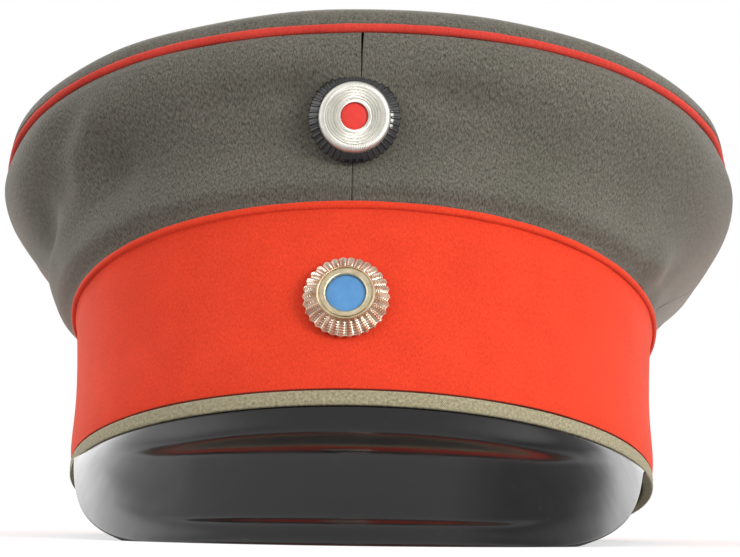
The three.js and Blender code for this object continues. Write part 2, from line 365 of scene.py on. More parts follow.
def twill_group():
    """Diagonal ribs of a twill weave, broken into single threads."""
    tree, start, end = new_group(
        "Twill weave",
        [("Vector", "NodeSocketVector", None), ("Ribs per metre", "NodeSocketFloat", 1600.0)],
        [("Threads", "NodeSocketFloat"), ("Height", "NodeSocketFloat")],
    )
    parts = add(tree, "ShaderNodeSeparateXYZ")
    tree.links.new(start.outputs["Vector"], parts.inputs["Vector"])
    angle = times(tree, start.outputs["Ribs per metre"], 2 * math.pi)
    along = times(tree, parts.outputs["X"], angle)
    up = times(tree, parts.outputs["Y"], angle)
    rising = plus(tree, along, times(tree, up, 0.9))
    ribs = math_node(tree, "SINE", rising)
    crossing = math_node(tree, "SUBTRACT", times(tree, up, 1.8), along)
    steps = math_node(tree, "SINE", crossing)
    fuzz = add(tree, "ShaderNodeTexNoise", {"Scale": 1500.0, "Detail": 2.0})
    tree.links.new(start.outputs["Vector"], fuzz.inputs["Vector"])
    weave = plus(tree, ribs, times(tree, steps, 0.4))
    woven = plus(tree, times(tree, weave, 0.13), fuzz.outputs["Fac"])
    tree.links.new(spread(tree, woven, 0.15, 0.85), end.inputs["Threads"])
    tree.links.new(woven, end.inputs["Height"])
    return tree


def wear_group():
    """Fine scuffs and dulled patches on leather, enamel and metal."""
    tree, start, end = new_group(
        "Handling wear",
        [("Vector", "NodeSocketVector", None), ("Patch size", "NodeSocketFloat", 90.0)],
        [
            ("Patches", "NodeSocketFloat"),
            ("Scuffs", "NodeSocketFloat"),
            ("Ripple", "NodeSocketFloat"),
        ],
    )
    patches = add(tree, "ShaderNodeTexNoise", {"Detail": 4.0, "Roughness": 0.6})
    tree.links.new(start.outputs["Vector"], patches.inputs["Vector"])
    tree.links.new(start.outputs["Patch size"], patches.inputs["Scale"])
    scuffs = add(tree, "ShaderNodeTexNoise", {"Detail": 5.0, "Roughness": 0.7, "Distortion": 1.5})
    tree.links.new(start.outputs["Vector"], scuffs.inputs["Vector"])
    scuff_scale = times(tree, start.outputs["Patch size"], 6.0)
    tree.links.new(scuff_scale, scuffs.inputs["Scale"])
    ripple = add(tree, "ShaderNodeTexNoise", {"Detail": 1.0})
    tree.links.new(start.outputs["Vector"], ripple.inputs["Vector"])
    ripple_scale = times(tree, start.outputs["Patch size"], 2.0)
    tree.links.new(ripple_scale, ripple.inputs["Scale"])
    tree.links.new(spread(tree, patches.outputs["Fac"], 0.35, 0.7), end.inputs["Patches"])
    tree.links.new(spread(tree, scuffs.outputs["Fac"], 0.6, 0.75), end.inputs["Scuffs"])
    tree.links.new(ripple.outputs["Fac"], end.inputs["Ripple"])
    return tree


def rays_group():
    """Evenly spaced rays round a disc: a cosine wave of the angle about Z."""
    tree, start, end = new_group(
        "Rays round a disc",
        [("Vector", "NodeSocketVector", None), ("Count", "NodeSocketFloat", 60.0)],
        [("Rays", "NodeSocketFloat")],
    )
    parts = add(tree, "ShaderNodeSeparateXYZ")
    tree.links.new(start.outputs["Vector"], parts.inputs["Vector"])
    angle = math_node(tree, "ARCTAN2", parts.outputs["Y"], parts.outputs["X"])
    wave = math_node(tree, "COSINE", times(tree, angle, start.outputs["Count"]))
    tree.links.new(spread(tree, wave, -1.0, 1.0), end.inputs["Rays"])
    return tree


WOOL_NAP = wool_nap_group()
TWILL = twill_group()
WEAR = wear_group()
RAYS = rays_group()


# ------------------------------------------------------------------ materials


def colour_wool(tree, shader, nap, coordinate, hair_tones, cloud_tones):
    """Colours a wool by its hairs, then tints it by its slow clouds."""
    place = add(tree, "ShaderNodeTexCoord")
    tree.links.new(place.outputs[coordinate], nap.inputs["Vector"])
    hairs = colour_between(tree, nap.outputs["Hairs"], *hair_tones)
    tint = colour_between(tree, nap.outputs["Clouds"], *cloud_tones)
    mixed = add(tree, "ShaderNodeMix", {"Factor": 1.0}, data_type="RGBA", blend_type="MULTIPLY")
    tree.links.new(hairs, mixed.inputs["A"])
    tree.links.new(tint, mixed.inputs["B"])
    tree.links.new(mixed.outputs["Result"], shader.inputs["Base Color"])


def crown_wool(name, coordinate):
    material, tree, shader = new_material(
        name,
        Roughness=0.95,
        Specular_IOR_Level=0.15,
        Sheen_Weight=0.55,
        Sheen_Roughness=0.4,
        Sheen_Tint=(0.85, 0.82, 0.76, 1),
    )
    nap = use_group(tree, WOOL_NAP, Hairs_per_metre=3000.0, Lean=(0.0, 0.0, 0.3), Cloud_size=55.0)
    hair_tones = ((0.043, 0.041, 0.032), (0.200, 0.188, 0.152))
    cloud_tones = ((0.93, 0.93, 0.93), (1.07, 1.05, 1.08))
    colour_wool(tree, shader, nap, coordinate, hair_tones, cloud_tones)
    bump(tree, shader, nap.outputs["Height"], 0.55, 0.3)
    return material


def red_wool(name, dark, light, hairs_per_metre, coordinate, depth):
    material, tree, shader = new_material(
        name,
        Roughness=0.9,
        Specular_IOR_Level=0.2,
        Sheen_Weight=0.25,
        Sheen_Roughness=0.4,
        Sheen_Tint=(1.0, 0.62, 0.5, 1),
    )
    lean = (0.0, 0.0, 1.2)
    nap = use_group(tree, WOOL_NAP, Hairs_per_metre=hairs_per_metre, Lean=lean, Cloud_size=90.0)
    cloud_tones = ((0.95, 0.93, 0.93), (1.04, 1.05, 1.05))
    colour_wool(tree, shader, nap, coordinate, (dark, light), cloud_tones)
    bump(tree, shader, nap.outputs["Height"], 0.35, depth)
    return material


def trim_twill():
    material, tree, shader = new_material(
        "trim_twill",
        Roughness=0.9,
        Specular_IOR_Level=0.2,
        Sheen_Weight=0.15,
        Sheen_Roughness=0.5,
    )
    place = add(tree, "ShaderNodeTexCoord")
    weave = use_group(tree, TWILL, Ribs_per_metre=1900.0)
    tree.links.new(place.outputs["UV"], weave.inputs["Vector"])
    shaded_thread = (0.15, 0.13, 0.072)
    lit_thread = (0.52, 0.465, 0.31)
    threads = colour_between(tree, weave.outputs["Threads"], shaded_thread, lit_thread)
    tree.links.new(threads, shader.inputs["Base Color"])
    bump(tree, shader, weave.outputs["Height"], 0.5, 0.2)
    return material


def patent_leather():
    material, tree, shader = new_material(
        "patent_leather",
        Specular_IOR_Level=0.5,
        IOR=1.5,
        Coat_Weight=0.0,
    )
    place = add(tree, "ShaderNodeTexCoord")
    wear = use_group(tree, WEAR, Patch_size=70.0)
    tree.links.new(place.outputs["Object"], wear.inputs["Vector"])
    lacquer = (0.0045, 0.0045, 0.005)
    scuffed = (0.018, 0.017, 0.016)
    tone = colour_between(tree, wear.outputs["Scuffs"], lacquer, scuffed)
    tree.links.new(tone, shader.inputs["Base Color"])
    rough = spread(tree, wear.outputs["Patches"], 0.0, 1.0, 0.12, 0.24)
    tree.links.new(rough, shader.inputs["Roughness"])
    bump(tree, shader, wear.outputs["Ripple"], 0.25, 0.3)
    return material


def metal(name, dark, light, roughness, rays=None, seat=None, depth=0.08):
    """Handled metal. A count of rays gives fine ribs round the middle of the disc at the seat."""
    material, tree, shader = new_material(name, Metallic=1.0)
    place = add(tree, "ShaderNodeTexCoord")
    wear = use_group(tree, WEAR, Patch_size=420.0)
    tree.links.new(place.outputs["Object"], wear.inputs["Vector"])
    tone = colour_between(tree, wear.outputs["Patches"], dark, light)
    tree.links.new(tone, shader.inputs["Base Color"])
    rough = spread(tree, wear.outputs["Scuffs"], 0.0, 1.0, roughness, roughness + 0.18)
    tree.links.new(rough, shader.inputs["Roughness"])
    if rays:
        centred = add(tree, "ShaderNodeMapping", vector_type="TEXTURE")
        centred.inputs["Location"].default_value = seat.to_translation()
        centred.inputs["Rotation"].default_value = seat.to_euler()
        tree.links.new(place.outputs["Object"], centred.inputs["Vector"])
        wave = use_group(tree, RAYS, Count=float(rays))
        tree.links.new(centred.outputs["Vector"], wave.inputs["Vector"])
        bump(tree, shader, wave.outputs["Rays"], 0.6, depth)
    else:
        bump(tree, shader, wear.outputs["Ripple"], 0.15, 0.05)
    return material


def enamel(name, dark, light, roughness, coat):
    material, tree, shader = new_material(name, Coat_Weight=coat, Coat_Roughness=0.05)
    place = add(tree, "ShaderNodeTexCoord")
    wear = use_group(tree, WEAR, Patch_size=300.0)
    tree.links.new(place.outputs["Object"], wear.inputs["Vector"])
    tone = colour_between(tree, wear.outputs["Patches"], dark, light)
    tree.links.new(tone, shader.inputs["Base Color"])
    rough = spread(tree, wear.outputs["Scuffs"], 0.0, 1.0, roughness, roughness + 0.15)
    tree.links.new(rough, shader.inputs["Roughness"])
    bump(tree, shader, wear.outputs["Ripple"], 0.1, 0.05)
    return material


# ------------------------------------------------------------------ cloth pieces

# subdivision levels: the crown's sides carry the folds and need more
CLOTH_LEVELS = 2
SIDE_LEVELS = 3

# how far the cut edges are rounded, in millimetres
SIDE_RIM = 0.35
TOP_RIM = 0.4
BAND_RIM = 0.2
TRIM_RIM = 0.5

# how far a cloth surface strays from its drawn shape
UNEVENNESS = 0.22 * MM

# how much thicker the edge cord is drawn, to meet the cloth round it
CORD_PLUMPING = 1.25

# how far the pieces' edges are moved to close their seams, in millimetres
CROWN_FOOT_DOWN = 0.9
TOP_RIM_DOWN = 0.4
BAND_EDGE_UP = 0.5
BAND_EDGE_OUT = 0.62
WELT_FOOT_DOWN = 0.3
WELT_IN = 0.22

# turns of the crown's four seams
FRONT_SEAM = 0.8
LEFT_SEAM = 85
BACK_SEAM = 180
RIGHT_SEAM = -87

# a seam's cut edges are drawn together within this many degrees, by this much on each side
SEAM_ZONE = 0.6
SEAM_CLOSING = 0.19

# the crown side's oval rings in millimetres: half sizes at the band, and their growth to the edge cord
CROWN_HALF_WIDTH = 85.5
CROWN_HALF_LENGTH = 101.8
FLARE_ACROSS = 25.8
FLARE_ALONG = 19.2

# where the rings' middles lie: the foot's along Y, and how far the edge is shifted from it
FOOT_MIDDLE = -0.3
EDGE_SHIFT_ACROSS = 0.5
EDGE_SHIFT_BACK = 11

# soft folds: turn, share of the height, how far out in millimetres, half width in degrees, half share
FOLDS = [
    (0, 0.47, 0.5, 9, 0.35),
    (-8, 0.63, -2.8, 4.5, 0.10),
    (-17, 0.60, -1.2, 5, 0.09),
    (14, 0.61, -2.2, 6, 0.09),
    (-37, 0.70, 1.5, 4, 0.11),
    (-42, 0.54, 1.9, 4, 0.11),
    (-45, 0.40, 1.3, 4, 0.10),
    (-44, 0.74, -1.9, 5, 0.10),
    (-36, 0.44, -2.6, 5, 0.13),
    (-50, 0.56, -1.2, 5, 0.12),
    (-57, 0.50, -2.4, 5, 0.11),
    (-63, 0.43, -2.4, 6, 0.09),
    (-54, 0.30, 1.0, 6, 0.13),
    (-64, 0.28, 1.2, 6, 0.10),
    (-72, 0.46, -0.7, 8, 0.09),
    (-72, 0.28, 1.0, 9, 0.12),
    (-76, 0.34, 0.8, 8, 0.12),
    (-84, 0.14, 0.8, 10, 0.12),
    (-95, 0.80, -1.0, 10, 0.16),
    (58, 0.14, 1.6, 6, 0.16),
    (66, 0.18, -0.9, 5, 0.14),
    (92, 0.12, -1.6, 22, 0.14),
    (98, 0.80, -0.6, 12, 0.20),
    (-150, 0.5, -1.2, 14, 0.2),
    (150, 0.45, -1.2, 16, 0.22),
    (172, 0.55, 0.8, 14, 0.25),
]


def uneven(place, normal, amount, size):
    """Strays along the normal by up to "amount", in slow waves about "size" metres long."""
    wave = noise.noise(place / size)
    return place + normal * (amount * wave)


def eased(value):
    value = min(max(value, 0.0), 1.0)
    return value * value * (3 - 2 * value)


def band_top_height(turn):
    """Height of the seam between band and crown, in millimetres: high at front and back."""
    angle = math.radians(turn)
    return 48.9 + math.cos(angle) + 5.2 * math.cos(2 * angle)


def crown_edge_height(turn):
    """Height of the edge cord, in millimetres: high at the front, and a little higher on the left."""
    angle = math.radians(turn)
    behind = max(0.0, -math.cos(angle)) ** 2
    front_to_back = 81.6 + 15.6 * math.cos(angle) + 0.5 * math.cos(2 * angle)
    return front_to_back + 0.9 * math.sin(angle) + 6 * behind


def crown_share(level, turn):
    """Share of the crown side's height: 0 at the band, 1 at the edge cord."""
    low = band_top_height(turn)
    return (level.z / MM - low) / (crown_edge_height(turn) - low)


def at_side(turn):
    """0 at the front and back, 1 over the ears."""
    return eased((abs(turn) - 56) / 14) * eased((150 - abs(turn)) / 34)


def edge_tuck(turn):
    """How far the crown's edge is drawn in over the ears, in millimetres."""
    over_ear, behind_ear = (0.6, 1.2) if turn < 0 else (1.4, 1.3)
    return over_ear * at_side(turn) + behind_ear * bell(abs(turn) - 95, 17)


def crown_fold(turn, share):
    """How far the soft cloth stands out of its plain cone, in millimetres."""
    front = eased((95 - abs(turn)) / 40)
    sag = 0.7 + 1.9 * front
    wave = math.sin(2 * math.pi * (share - 0.58) / 0.84)
    out = sag * wave * eased(share / 0.12) * eased((1.03 - share) / 0.12)
    overhang = 1.2 if turn < 0 else 2.1
    out += overhang * at_side(turn) * bell(share - 0.87, 0.11)
    out -= edge_tuck(turn) * eased((share - 0.6) / 0.4)
    for fold_turn, fold_share, amount, wide, tall in FOLDS:
        away = (turn - fold_turn + 180) % 360 - 180
        out += amount * math.exp(-((away / wide) ** 2) - ((share - fold_share) / tall) ** 2)
    return out


def ring_sizes(share):
    """Half width and half length of a ring of the crown's side, in millimetres."""
    return CROWN_HALF_WIDTH + FLARE_ACROSS * share, CROWN_HALF_LENGTH + FLARE_ALONG * share


def ring_middle(share):
    return EDGE_SHIFT_ACROSS * share, EDGE_SHIFT_BACK * share + FOOT_MIDDLE


def crown_ring(angle, share):
    """A point of the plain cone from the band's ring (share 0) to the edge cord's (share 1)."""
    turn = math.radians(angle)
    half_width, half_length = ring_sizes(share)
    middle_across, middle_along = ring_middle(share)
    corner = 1 + (0.06 - 0.01 * share) * math.sin(2 * turn) ** 2
    behind = share * max(0.0, -math.cos(turn)) ** 2
    across = middle_across + half_width * corner * math.sin(turn)
    along = middle_along - half_length * corner * math.cos(turn) - 5 * behind
    height = band_top_height(angle) * (1 - share) + crown_edge_height(angle) * share
    return Vector((across, along, height)) * MM


def ring_angle(level, share):
    """The crown_ring angle of a point; it differs from turn_of because the rings are oval."""
    half_width, half_length = ring_sizes(share)
    middle_across, middle_along = ring_middle(share)
    across = (level.x / MM - middle_across) / half_width
    along = (level.y / MM - middle_along) / half_length
    return math.degrees(math.atan2(across, -along))


def slide(turn, angle, share):
    """Degrees that the cloth slides round the head, so that the seams wander as sewn ones do."""
    front = eased((share - 0.2) / 0.55) - 1.3
    left = (10 - 20 * (1 - eased(share / 0.9))) * (1 - eased((share - 0.55) / 0.42))
    left_drawn = 0.05 + 0.95 * eased(share / 0.45)
    seams = (
        (FRONT_SEAM, turn, 0.45),
        (LEFT_SEAM, angle, left_drawn),
        (BACK_SEAM, angle, 1),
        (RIGHT_SEAM, angle, 1),
    )
    close = 0.0
    for seam, place, drawn in seams:
        away = (place - seam + 180) % 360 - 180
        if abs(away) < SEAM_ZONE:
            close -= math.copysign(SEAM_CLOSING, away) * (1 - abs(away) / SEAM_ZONE) * drawn
    return front * bell(turn - FRONT_SEAM, 8) + left * bell(angle - LEFT_SEAM, 24) + close


def outward_of(level):
    return Vector((level.x, level.y, 0)).normalized()


def shape_crown(place, normal):
    """Folds the cloth, slides its seams, and lowers its foot onto the welt."""
    level = LEVEL @ place
    turn = turn_of(level)
    share = crown_share(level, turn)
    level += outward_of(level) * (crown_fold(turn, share) * MM)
    within = min(max(share, 0.0), 1.0)
    angle = ring_angle(level, within)
    level += crown_ring(angle + slide(turn, angle, share), within) - crown_ring(angle, within)
    foot = eased(1 - (level.z / MM - band_top_height(angle)) / 1.6)
    level.z -= CROWN_FOOT_DOWN * foot * MM
    return uneven(CAP_PLACE @ level, normal, UNEVENNESS, size=0.018)


def shape_top(place, normal):
    """Draws the top's rim in over the ears and lowers it onto the edge cord."""
    level = LEVEL @ place
    turn = turn_of(level)
    half_width, half_length = ring_sizes(1)
    middle_along = ring_middle(1)[1]
    reach = math.hypot(level.x / MM / half_width, (level.y / MM - middle_along) / half_length)
    over_cord = 0.8 * bell(abs(turn) - 60, 18) * eased((reach - 0.86) / 0.1)
    drawn_in = edge_tuck(turn) * eased((reach - 0.7) / 0.28)
    level += outward_of(level) * ((over_cord - drawn_in) * MM)
    above_cord = level.z / MM - crown_edge_height(ring_angle(level, 1))
    rim = eased((reach - 0.94) / 0.02) * eased(1 - (above_cord - 0.8) / 2.4)
    level.z -= TOP_RIM_DOWN * rim * MM
    return uneven(CAP_PLACE @ level, normal, 2 * UNEVENNESS, size=0.03)


def shape_edge_cord(place, normal):
    """Plumps the cord up to meet the cloth above and below it."""
    level = LEVEL @ place
    outward = outward_of(level)
    middle = crown_ring(ring_angle(level, 1), 1)
    level = middle + (level - middle) * CORD_PLUMPING
    level -= outward * (edge_tuck(turn_of(level)) * MM)
    return uneven(CAP_PLACE @ level, normal, 0.12 * MM, size=0.006)


def shape_band(place, normal):
    """Draws the band's top edge up and out against the welt, so that no gap shows."""
    level = LEVEL @ place
    turn = turn_of(level)
    near_top = eased((level.z / MM - band_top_height(turn) + 5.0) / 3.4)
    level += outward_of(level) * (BAND_EDGE_OUT * near_top * MM)
    level.z += BAND_EDGE_UP * near_top * MM
    return uneven(CAP_PLACE @ level, normal, UNEVENNESS, size=0.02)


def shape_welt(place, normal):
    """Flattens the cord against the band: a folded strip, not a round rope."""
    level = LEVEL @ place
    turn = turn_of(level)
    middle = band_top_height(turn) - 0.9
    below = eased((middle - level.z / MM) / 0.9)
    level.z -= WELT_FOOT_DOWN * below * MM
    level -= outward_of(level) * (WELT_IN * MM)
    return uneven(CAP_PLACE @ level, normal, 0.08 * MM, size=0.006)


def make_crown_sides():
    wool = crown_wool("crown_wool", "UV")
    for node in ("crown_front_left", "crown_back_left", "crown_back_right", "crown_front_right"):
        side = refined_copy(node, node + "_wool", SIDE_RIM, SIDE_LEVELS)
        move_points(side, shape_crown)
        wrap_uv(side)
        finish_piece(side, wool, "crown_wool", node)


def make_crown_top():
    wool = crown_wool("crown_top_wool", "Object")
    top = refined_copy("crown_top", "crown_top_wool", TOP_RIM, CLOTH_LEVELS)
    move_points(top, shape_top)
    finish_piece(top, wool, "crown_wool", "crown_top")


def make_band():
    """The band and the welt above it, of one cloth."""
    felt = red_wool(
        "band_felt",
        dark=(0.66, 0.036, 0.012),
        light=(0.86, 0.062, 0.022),
        hairs_per_metre=3200.0,
        coordinate="UV",
        depth=0.1,
    )
    band = refined_copy("band", "band_felt", BAND_RIM, CLOTH_LEVELS)
    move_points(band, shape_band)
    wrap_uv(band)
    finish_piece(band, felt, "band_wool", "band")
    welt = refined_copy("band_piping", "band_welt", 0, CLOTH_LEVELS)
    move_points(welt, shape_welt)
    wrap_uv(welt)
    finish_piece(welt, felt, "piping_cord", "band_piping")


def make_edge_cord():
    cord_cloth = red_wool(
        "piping_cloth",
        dark=(0.48, 0.036, 0.026),
        light=(0.72, 0.062, 0.042),
        hairs_per_metre=2600.0,
        coordinate="Object",
        depth=0.12,
    )
    cord = refined_copy("crown_piping", "crown_edge_cord", 0, CLOTH_LEVELS)
    move_points(cord, shape_edge_cord)
    finish_piece(cord, cord_cloth, "piping_cord", "crown_piping")


def make_trim():
    trim = refined_copy("lower_trim", "lower_trim_twill", TRIM_RIM, CLOTH_LEVELS)
    wrap_uv(trim)
    finish_piece(trim, trim_twill(), "trim_cloth", "lower_trim")


# ------------------------------------------------------------------ visor

VISOR_HALF_TURN = 63.5
VISOR_REACH = 27.6
VISOR_DROP = 35.9
VISOR_WALL = 2.0
VISOR_COLUMNS = 56
VISOR_EDGE_ROUNDING = 0.35
VISOR_TUCK = 0.8

# the cloth edge's foot, where the visor is sewn on, in millimetres: half sizes of its oval, and height
FOOT_HALF_WIDTH = 84
FOOT_HALF_LENGTH = 106.4
FOOT_HEIGHT = 2.7

# the surface that the cap rests on, seen in the level frame, falls towards the nose
REST_HEIGHT_BEHIND = 3.0
REST_SLOPE = 0.15058

# the leather's face at the nose, in millimetres out from and down from the trim
VISOR_FACE = [
    (0.0, 0.0), (0.2, 0.7), (0.8, 3.0), (1.3, 5.4), (2.2, 6.8), (3.9, 8.2),
    (5.9, 9.5), (8.2, 10.9), (10.3, 12.5), (12.3, 15.2), (14.5, 18.4),
    (16.7, 21.6), (18.9, 24.8), (20.8, 27.7), (21.7, 29.0), (22.4, 29.7),
    (23.5, 30.5), (24.4, 31.4), (25.2, 32.8), (25.9, 34.3), (26.7, 35.3), (27.6, 35.9),
]


def foot_ring(turn):
    """A point of the cloth edge's foot, in millimetres: lower over the ears than at the nose."""
    angle = math.radians(turn)
    corner = 1 + 0.03 * math.sin(2 * angle) ** 2
    across = FOOT_HALF_WIDTH * corner * math.sin(angle)
    along = -FOOT_HALF_LENGTH * corner * math.cos(angle)
    return Vector((across, along, FOOT_HEIGHT - 5 * math.sin(angle) ** 2))


def foot_outward(turn):
    along = foot_ring(turn + 1) - foot_ring(turn - 1)
    return Vector((along.y, -along.x, 0)).normalized()


def visor_reach(turn):
    """How far the rim stands out: most at the nose, nothing at the ends."""
    share = abs(turn) / VISOR_HALF_TURN
    softened = (math.hypot(share, 0.25) - 0.25) / (math.hypot(1, 0.25) - 0.25)
    return VISOR_REACH * (1 - softened) ** 1.3


def visor_drop(turn):
    """How far the rim hangs down: to the resting surface at the nose, then climbing to the ends."""
    top = foot_ring(turn)
    edge = top + foot_outward(turn) * visor_reach(turn)
    floor = REST_HEIGHT_BEHIND + (edge.y - FOOT_HALF_LENGTH) * REST_SLOPE
    steepness = 0.021 if turn < 0 else 0.016
    climb = steepness * max(0, abs(turn) - 25) ** 2
    return max(top.z - floor - climb, 0.6)


def visor_face(turn, row):
    """Out and down at the given row: the pressed valley and rim bead fade to a plain round end."""
    out, down = VISOR_FACE[row]
    quarter = math.radians(90 * row / (len(VISOR_FACE) - 1))
    straight = 0.45 * quarter / math.radians(90)
    plain_out = VISOR_REACH * (straight + 0.55 * math.sin(quarter))
    plain_down = VISOR_DROP * (straight + 0.55 * (1 - math.cos(quarter)))
    plain_from = 27 - 8 * eased((row - 6) / 8)
    fade = eased((abs(turn) - plain_from) / 26)
    return out + (plain_out - out) * fade, down + (plain_down - down) * fade


def visor_point(turn, row):
    out, down = visor_face(turn, row)
    reach = visor_reach(turn) * out / VISOR_REACH
    drop = visor_drop(turn) * down / VISOR_DROP
    point = foot_ring(turn) + foot_outward(turn) * reach
    point.z -= drop
    return CAP_PLACE @ (point * MM)


def make_visor():
    """A sheet of leather laid over its form, given its thickness, then smoothed."""
    rows = len(VISOR_FACE) - 1
    deselect()
    bpy.ops.mesh.primitive_grid_add(x_subdivisions=VISOR_COLUMNS, y_subdivisions=rows, size=1)
    visor = named(bpy.context.active_object, "visor_patent")

    def lay_on_form(place, normal):
        turn = place.x * 2 * VISOR_HALF_TURN
        return visor_point(turn, round((0.5 - place.y) * rows))

    move_points(visor, lay_on_form)
    wall = VISOR_WALL * MM
    put_modifier(visor, "SOLIDIFY", thickness=wall, offset=-1, use_even_offset=False)
    edit(visor, "DESELECT", "EDGE")
    bpy.ops.mesh.edges_select_sharp(sharpness=math.radians(60))
    bpy.ops.mesh.bevel(offset=VISOR_EDGE_ROUNDING * MM, segments=2, affect="EDGES")
    leave_edit()
    subdivide_smooth(visor, 2)

    def settle(place, normal):
        """Tucks the top edge's inner half up under the trim, and keeps the rim off the floor."""
        level = LEVEL @ place / MM
        across = level.x / FOOT_HALF_WIDTH
        along = level.y / FOOT_HALF_LENGTH
        angle = math.degrees(math.atan2(across, -along))
        from_ring = level - foot_ring(angle)
        inside = eased((-from_ring.dot(foot_outward(angle)) - 0.3) / 0.7)
        level.z += VISOR_TUCK * inside * eased(from_ring.z + 1.2)
        place = CAP_PLACE @ (level * MM)
        return Vector((place.x, place.y, max(place.z, 0.02 * MM)))

    move_points(visor, settle)
    smooth_shading(visor)
    finish_piece(visor, patent_leather(), "visor_leather", "visor")


# ------------------------------------------------------------------ cockades

# the black ring: its inner radius and width, and its ribs' length out, width round and height up
RIBBED_RING_INNER = 8.95
RIBBED_RING_WIDTH = 2.1
RIB_COUNT = 42
RIB_SIZE = Vector((2.4, 0.84, 1.6)) * MM
RIB_MIDDLE = Vector((10.15, 0, 1.15)) * MM

# the ring is pinned on a little off the dish's middle
RIBBED_RING_SHIFT = Vector((-0.12, 0.15, 0)) * MM

# the lower cockade's petals: their count, the ribs on each, and the radii of root and tip
PETAL_COUNT = 30
PETAL_RIBS = 6
PETAL_ROOT = 7.1
PETAL_TIP = 10.35


def seat_piece(piece, seat):
    """Puts a piece drawn round the origin where its cockade sits."""
    piece.data.transform(seat)
    piece.data.update()
    return piece


def black_ribbed_ring(seat):
    profile = [
        (RIBBED_RING_INNER, 0.05), (11.05, 0.05), (11.1, 0.42), (9.8, 1.55), (RIBBED_RING_INNER, 1.95),
    ]
    base = turned("ribbed_base", profile, 88)
    bpy.ops.mesh.primitive_cube_add(size=1, location=RIB_MIDDLE)
    rib = bpy.context.active_object
    rib.scale = RIB_SIZE
    pick(rib)
    bpy.ops.object.transform_apply(location=True, rotation=True, scale=True)
    put_modifier(rib, "BEVEL", width=0.3 * MM, segments=3, limit_method="NONE")

    def lay_on_slope(place, normal):
        """Narrows a rib towards the ring's middle and lets its upper face fall outwards."""
        outward = (place.x / MM - RIBBED_RING_INNER) / RIBBED_RING_WIDTH
        narrow = 0.82 + 0.18 * outward
        fall = 1.5 if place.z > RIB_MIDDLE.z else 0.35
        drop = fall * outward * MM
        return Vector((place.x, place.y * narrow, place.z - drop + 0.45 * MM))

    move_points(rib, lay_on_slope)
    ring = join([base] + copies_round(rib, RIB_COUNT), "upper_cockade_ribbed_ring")
    smooth_shading(ring, 40)
    move_points(ring, lambda place, normal: place + RIBBED_RING_SHIFT)
    return seat_piece(ring, seat)


def silver_dish(seat):
    """A plate with a rounded shoulder and four raised circles round its middle hole."""
    profile = [
        (3.38, 0), (8.75, 0), (8.85, 0.3), (8.85, 2.8),
        (8.75, 3.3), (8.45, 3.75), (8.0, 4.0), (7.4, 4.1),
    ]
    for circle in (6.8, 6.1, 5.4, 4.7):
        for across, height in ((0.28, 3.96), (0.16, 4.2), (-0.16, 4.2), (-0.28, 3.96)):
            profile.append((circle + across, height))
    profile += [(4.0, 4.15), (3.65, 4.2), (3.42, 4.1), (3.38, 3.6)]
    dish = turned("upper_cockade_silver_dish", profile, 120)
    smooth_shading(dish, 50)
    return seat_piece(dish, seat)


def red_button(seat):
    profile = [(0, 0), (3.3, 0), (3.3, 3.5), (3.1, 3.62), (2.2, 3.72), (1.0, 3.77), (0, 3.78)]
    button = turned("upper_cockade_red_centre", profile, 72)
    smooth_shading(button, 40)
    return seat_piece(button, seat)


def petal(place):
    """Bends a unit grid into one ribbed petal of the rim."""
    across = place.x
    along = place.y + 0.5
    reach = PETAL_TIP - 0.42 * (2 * across) ** 2
    radius = PETAL_ROOT + (reach - PETAL_ROOT) * along
    angle = across * 2 * math.pi / PETAL_COUNT * 0.97
    fall = (radius - PETAL_ROOT) / 3.2
    slope = 2.45 - 1.9 * fall ** 1.25
    swell = 0.34 * math.cos(math.pi * across)
    ribs = 0.2 * math.cos(2 * math.pi * PETAL_RIBS * along) * math.cos(math.pi * across)
    height = slope + swell + ribs
    return Vector((radius * math.cos(angle), radius * math.sin(angle), height)) * MM


def petal_rim(seat):
    base_profile = [(7.2, 0.05), (9.9, 0.05), (9.95, 0.35), (8.8, 1.35), (7.2, 2.25)]
    base = turned("petal_base", base_profile, 90)
    bpy.ops.mesh.primitive_grid_add(x_subdivisions=8, y_subdivisions=24, size=1)
    leaf = bpy.context.active_object
    move_points(leaf, lambda place, normal: petal(place))
    face_outwards(leaf)
    if leaf.data.polygons[0].normal.z < 0:
        leaf.data.flip_normals()
    put_modifier(leaf, "SOLIDIFY", thickness=0.35 * MM, offset=-1)
    rim = join([base] + copies_round(leaf, PETAL_COUNT), "lower_cockade_petal_rim")
    smooth_shading(rim, 55)
    return seat_piece(rim, seat)


def cream_ring(seat):
    profile = [
        (4.78, 0), (7.0, 0), (7.1, 0.2), (7.1, 3.15), (7.0, 3.5), (6.78, 3.68),
        (6.58, 3.6), (6.45, 3.2), (6.28, 3.2), (6.15, 3.58),
        (5.4, 3.62), (5.0, 3.55), (4.78, 3.3),
    ]
    ring = turned("lower_cockade_cream_ring", profile, 120)
    smooth_shading(ring, 50)
    return seat_piece(ring, seat)


def blue_button(seat):
    profile = [(0, 0), (4.7, 0), (4.7, 2.75), (4.4, 2.88), (3.6, 2.96), (2.0, 3.0), (0, 3.02)]
    button = turned("lower_cockade_blue_centre", profile, 90)
    smooth_shading(button, 40)
    return seat_piece(button, seat)


